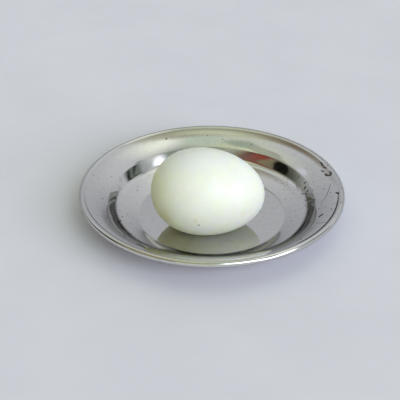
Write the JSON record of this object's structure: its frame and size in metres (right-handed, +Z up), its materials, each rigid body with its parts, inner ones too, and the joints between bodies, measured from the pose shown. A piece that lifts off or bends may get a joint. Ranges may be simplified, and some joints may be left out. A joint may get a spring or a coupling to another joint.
{
  "type": "boiled egg on a steel plate",
  "caption": "Peeled boiled egg lying on its side near the front of a small round steel plate with a sloping rim and a rolled edge.",
  "frame": {"origin": "middle of the plate's underside, on the surface that the plate stands on", "axes": "+Z up, +X to the picture's right, towards the egg's small end, +Y away from the front"},
  "size_m": [0.14, 0.14, 0.0442],
  "materials": {
    "polished_steel": "pressed stainless steel, polished bright inside, with fine wear marks and a few drops of water",
    "egg_white": "smooth moist cooked egg white, pale mint white with a soft broad sheen"
  },
  "bodies": {
    "root": {"plate": "polished_steel", "egg": "egg_white"}
  },
  "joints": []
}
